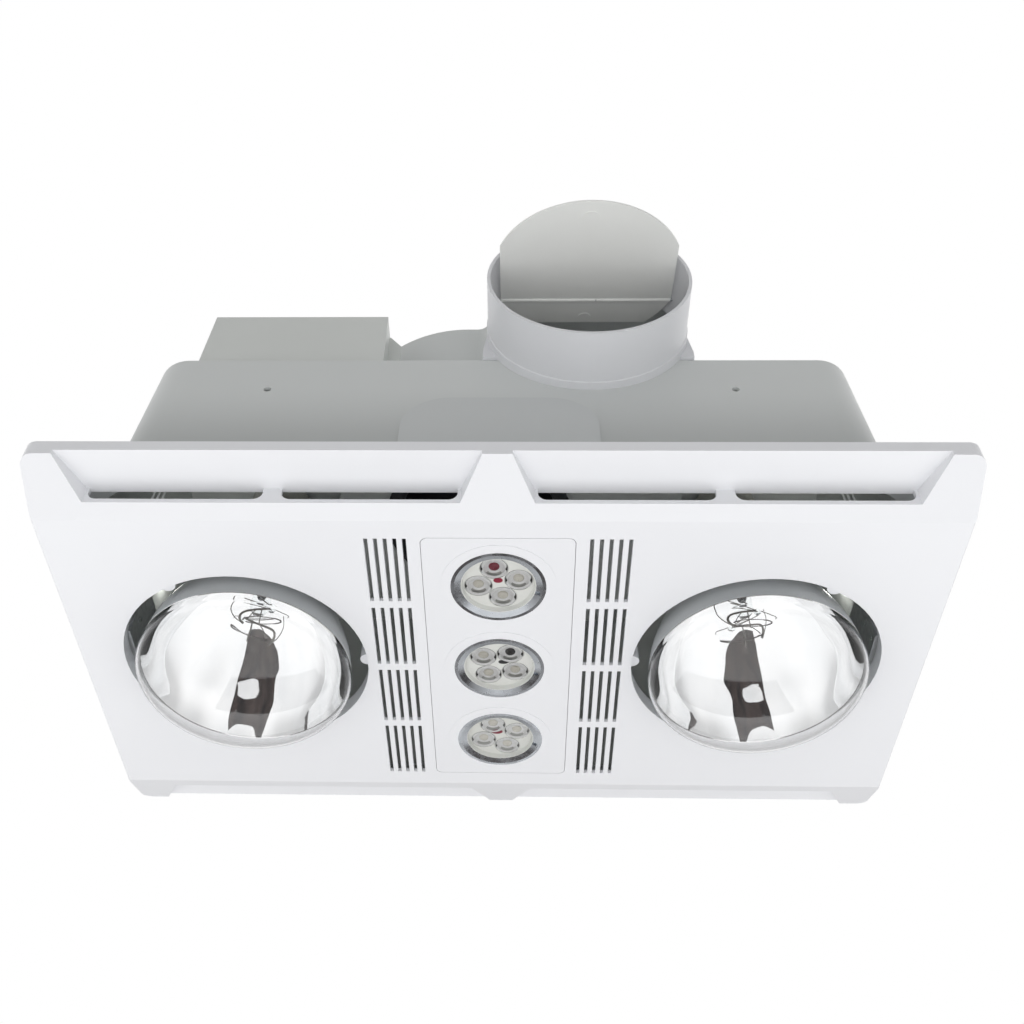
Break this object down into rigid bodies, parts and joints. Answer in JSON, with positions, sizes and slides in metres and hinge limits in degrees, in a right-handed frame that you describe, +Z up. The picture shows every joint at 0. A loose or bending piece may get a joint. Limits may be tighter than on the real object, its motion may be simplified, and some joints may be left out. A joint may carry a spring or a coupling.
{
  "type": "bathroom ceiling heater",
  "caption": "Ceiling-mounted bathroom heater with heat lamps, a light panel and a ducted exhaust fan with a damper.",
  "frame": {"origin": "centre of the ceiling plane, on which the housing's flange and the fascia's rim bear", "axes": "+Z up into the ceiling space, +X along the fascia to the right of the duct as seen from the room, +Y away from the duct's mouth"},
  "size_m": [0.49, 0.3582, 0.2716],
  "materials": {
    "fascia_white": "white ABS with a soft sheen",
    "housing_grey": "light grey moulded plastic",
    "duct_grey": "pale grey moulded plastic",
    "dark_plastic": "black moulded plastic",
    "board_grey": "pale warm-grey moulded plastic",
    "lens_clear": "clear moulded lens",
    "lamp_glass": "clear front, mirrored inside above the widest part",
    "lamp_cap_metal": "plain rolled aluminium",
    "filament_wire": "drawn tungsten wire",
    "bezel_metal": "satin aluminium",
    "sink_metal": "cast aluminium",
    "zinc_steel": "zinc-plated steel",
    "motor_steel": "dark grey paint on steel",
    "core_steel": "stacked steel sheets",
    "winding_copper": "enamelled copper wire",
    "porcelain": "glazed white porcelain",
    "brass": "plain brass"
  },
  "bodies": {
    "housing_unit": {"fascia_clips": "zinc_steel", "housing": "housing_grey", "scroll_case": "housing_grey", "scroll_lid": "housing_grey", "inlet_ring": "dark_plastic", "motor_cup": "motor_steel", "motor_cap": "motor_steel", "motor_bearings": "zinc_steel", "motor_screws": "zinc_steel", "stator_core": "core_steel", "stator_coils": "winding_copper", "capacitor": "dark_plastic", "spigot": "duct_grey", "damper_pin": "zinc_steel", "junction_cover": "housing_grey", "cable_gland": "dark_plastic", "terminal_block": "porcelain", "terminal_screws": "brass", "bracket_screws": "zinc_steel", "holder_screws": "zinc_steel", "roof_screws": "zinc_steel", "spigot_screws": "zinc_steel", "lamp_holder_left": "porcelain", "socket_shell_left": "brass", "socket_contact_left": "brass", "lamp_bracket_left": "zinc_steel", "lamp_holder_right": "porcelain", "socket_shell_right": "brass", "socket_contact_right": "brass", "lamp_bracket_right": "zinc_steel"},
    "fan_rotor": {"impeller": "dark_plastic", "motor_shaft": "zinc_steel", "rotor_core": "core_steel"},
    "damper": {"damper_flap": "duct_grey"},
    "heat_lamp_left": {"lamp_glass_left": "lamp_glass", "lamp_cap_left": "lamp_cap_metal", "lamp_stem_left": "lens_clear", "lamp_filament_left": "filament_wire"},
    "heat_lamp_right": {"lamp_glass_right": "lamp_glass", "lamp_cap_right": "lamp_cap_metal", "lamp_stem_right": "lens_clear", "lamp_filament_right": "filament_wire"},
    "fascia_unit": {"fascia": "fascia_white", "light_panel": "fascia_white", "panel_screws": "zinc_steel", "led_bezel_1": "bezel_metal", "led_board_1": "board_grey", "led_lenses_1": "lens_clear", "led_heatsink_1": "sink_metal", "led_bezel_2": "bezel_metal", "led_board_2": "board_grey", "led_lenses_2": "lens_clear", "led_heatsink_2": "sink_metal", "led_bezel_3": "bezel_metal", "led_board_3": "board_grey", "led_lenses_3": "lens_clear", "led_heatsink_3": "sink_metal"}
  },
  "joints": [
    {"name": "fan_spin", "type": "hinge", "parent": "housing_unit", "child": "fan_rotor", "pos_m": [-0.01425, -0.01215, 0.15], "axis": [0, 0, 1], "continuous": true},
    {"name": "damper_swing", "type": "hinge", "parent": "housing_unit", "child": "damper", "pos_m": [0.0531, -0.1267, 0.1756], "axis": [1, 0, 0], "range_deg": [-15, 75]},
    {"name": "lamp_left_unscrew", "type": "slide", "parent": "housing_unit", "child": "heat_lamp_left", "axis": [0, 0, -1], "range_m": [0, 0.028]},
    {"name": "lamp_right_unscrew", "type": "slide", "parent": "housing_unit", "child": "heat_lamp_right", "axis": [0, 0, -1], "range_m": [0, 0.028]},
    {"name": "fascia_drop", "type": "slide", "parent": "housing_unit", "child": "fascia_unit", "axis": [0, 0, -1], "range_m": [0, 0.06]}
  ]
}
